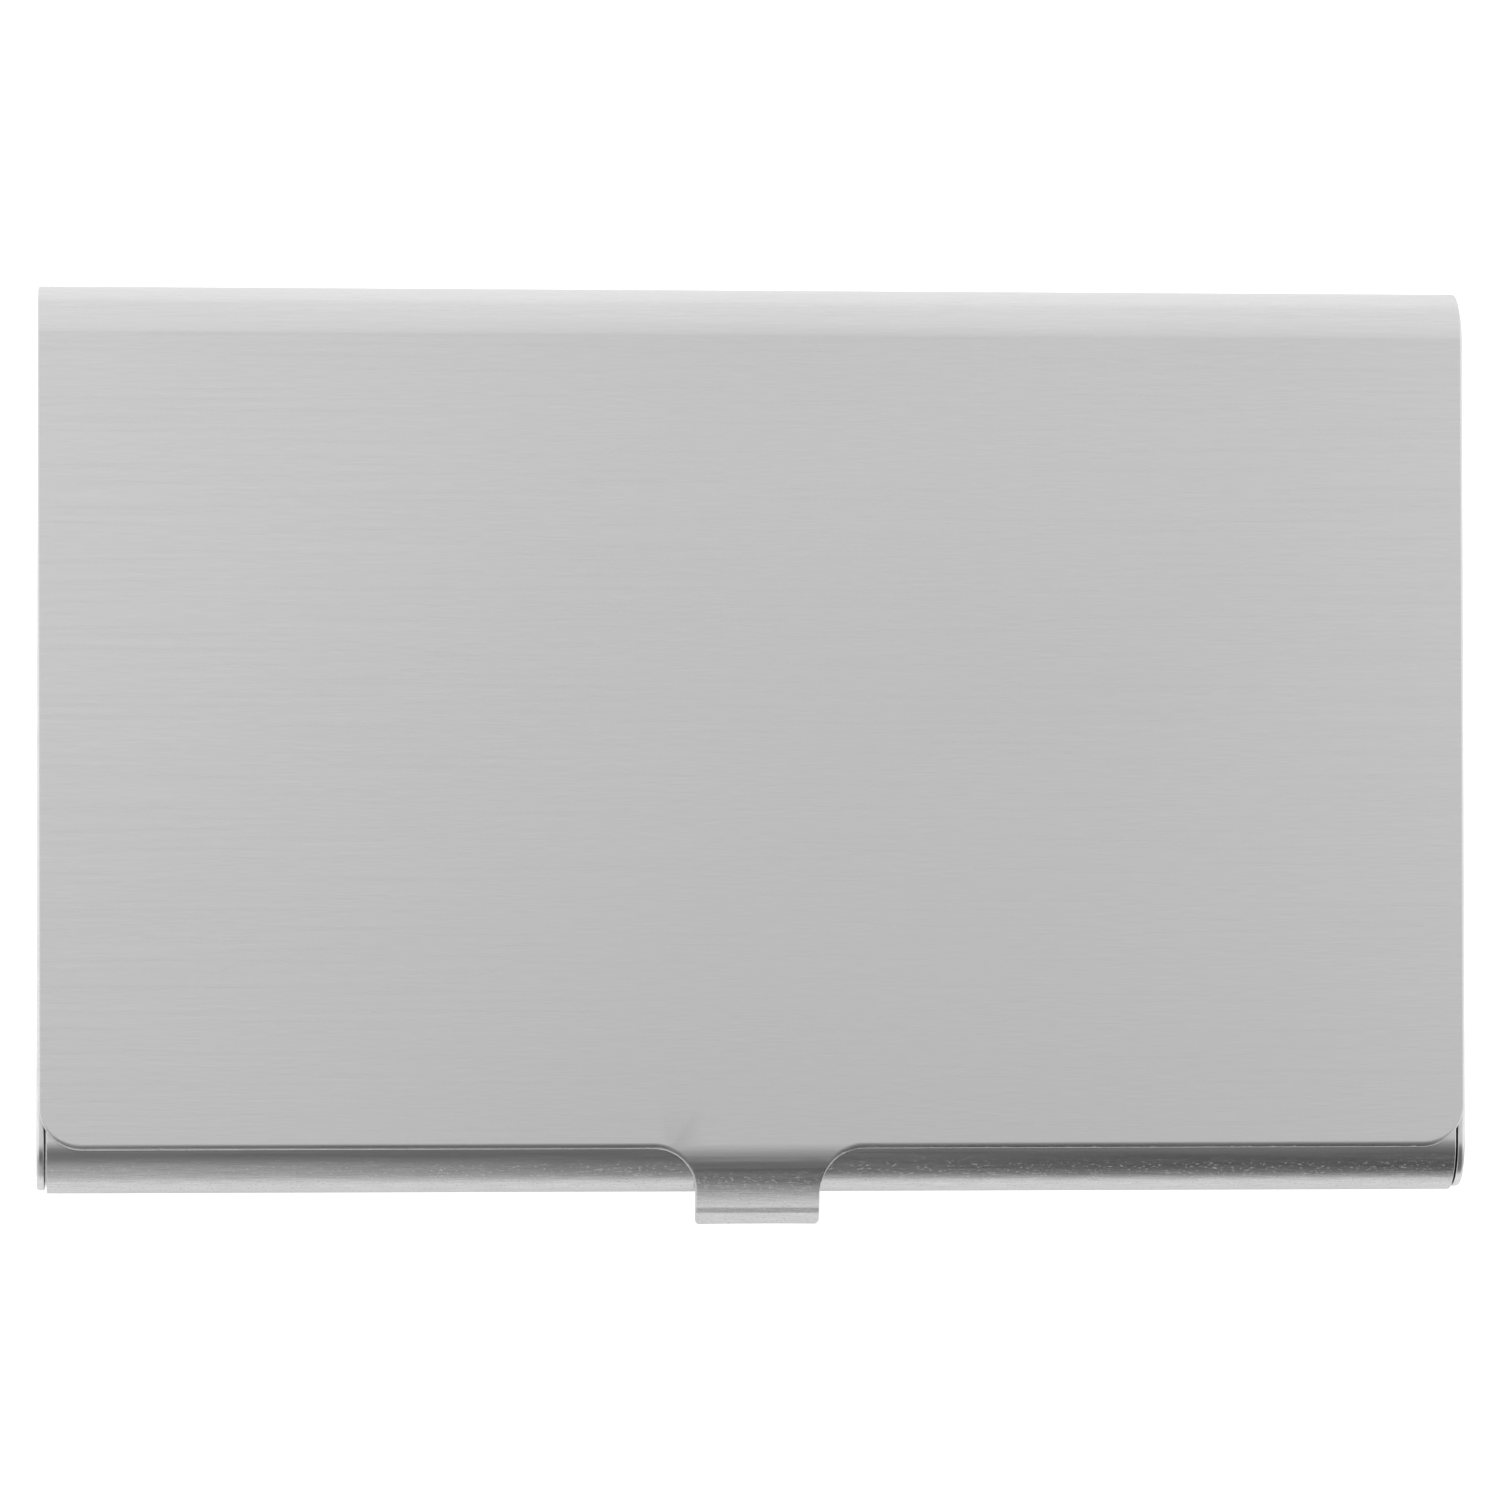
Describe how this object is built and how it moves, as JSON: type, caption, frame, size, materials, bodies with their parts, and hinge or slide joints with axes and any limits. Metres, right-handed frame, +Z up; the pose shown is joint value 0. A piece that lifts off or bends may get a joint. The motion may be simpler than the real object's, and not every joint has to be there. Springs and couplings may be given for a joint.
{
  "type": "business card case",
  "caption": "Slim pressed-steel card case with a hinged brushed lid, a curled rear spine and front edge, a thumb tab and an inner tray that lifts the cards as the lid opens.",
  "frame": {"origin": "middle of the case's footprint, thumb tab included, at the level of its underside", "axes": "+Z up out of the lid, +X along the hinge to the right, -Y towards the thumb tab"},
  "size_m": [0.094, 0.0616, 0.007],
  "materials": {
    "brushed_shell": "fine hairline brushing along the hinge",
    "plain_sheet": "bright cold-rolled sheet, unbrushed",
    "pin_steel": "turned bright",
    "washer_plastic": "natural white, matt"
  },
  "bodies": {
    "base": {"base_shell": "brushed_shell", "left_end_plate": "plain_sheet", "right_end_plate": "plain_sheet", "left_hinge_pin": "pin_steel", "right_hinge_pin": "pin_steel", "left_hinge_washer": "washer_plastic", "right_hinge_washer": "washer_plastic", "left_tray_pivot": "pin_steel", "right_tray_pivot": "pin_steel"},
    "lid": {"lid_shell": "brushed_shell", "left_lid_ear": "plain_sheet", "right_lid_ear": "plain_sheet", "left_lift_pin": "pin_steel", "right_lift_pin": "pin_steel"},
    "tray": {"card_tray": "plain_sheet"}
  },
  "joints": [
    {"name": "lid_hinge", "type": "hinge", "parent": "base", "child": "lid", "pos_m": [0, 0.02755, 0.00375], "axis": [-1, 0, 0], "range_deg": [0, 90]},
    {"name": "tray_lift", "type": "hinge", "parent": "base", "child": "tray", "pos_m": [0, 0.02845, 0.00245], "axis": [-1, 0, 0], "range_deg": [0, 27]}
  ],
  "couplings": [
    {"joint": "tray_lift", "follows": "lid_hinge", "ratio": 0.3}
  ]
}
